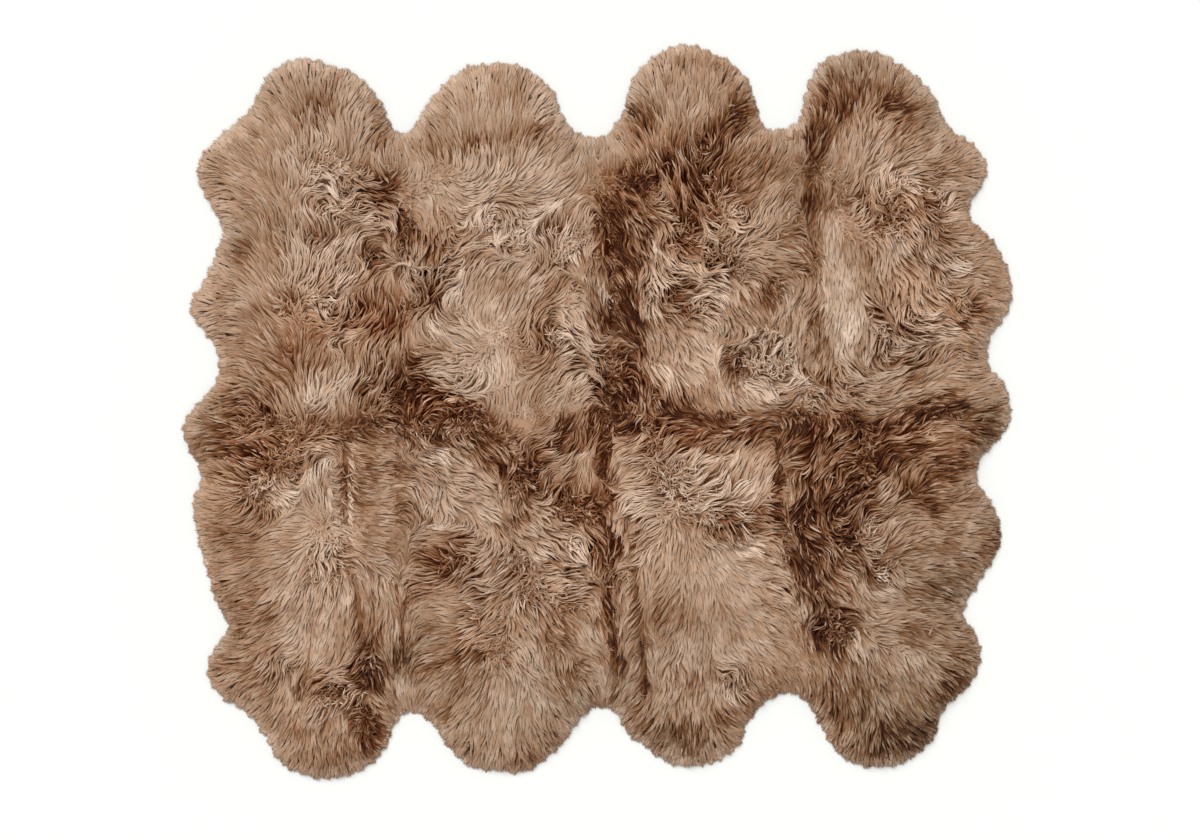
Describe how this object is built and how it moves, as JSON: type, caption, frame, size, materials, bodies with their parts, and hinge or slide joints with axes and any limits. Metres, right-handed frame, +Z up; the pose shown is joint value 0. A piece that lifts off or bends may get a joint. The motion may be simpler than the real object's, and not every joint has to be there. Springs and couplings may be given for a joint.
{
  "type": "sheepskin rug",
  "caption": "Large long-wool sheepskin rug: pelts sewn edge to edge in two rows, with a lumpy pile and a scalloped, shaggy outer edge.",
  "frame": {"origin": "on the floor, at the middle of the bottom of the rug's own box", "axes": "+X to the right along the four pelts of a row, +Y to the back row, +Z up out of the wool"},
  "size_m": [2.2188, 1.9646, 0.0554],
  "materials": {
    "wool": "long combed wool in soft wavy locks, light brown with darker partings",
    "hide": "buffed suede side of the hide, pale tan"
  },
  "bodies": {
    "root": {"pelt_back_1": "wool", "pelt_back_2": "wool", "pelt_back_3": "wool", "pelt_back_4": "wool", "pelt_front_1": "wool", "pelt_front_2": "wool", "pelt_front_3": "wool", "pelt_front_4": "wool"}
  },
  "joints": []
}
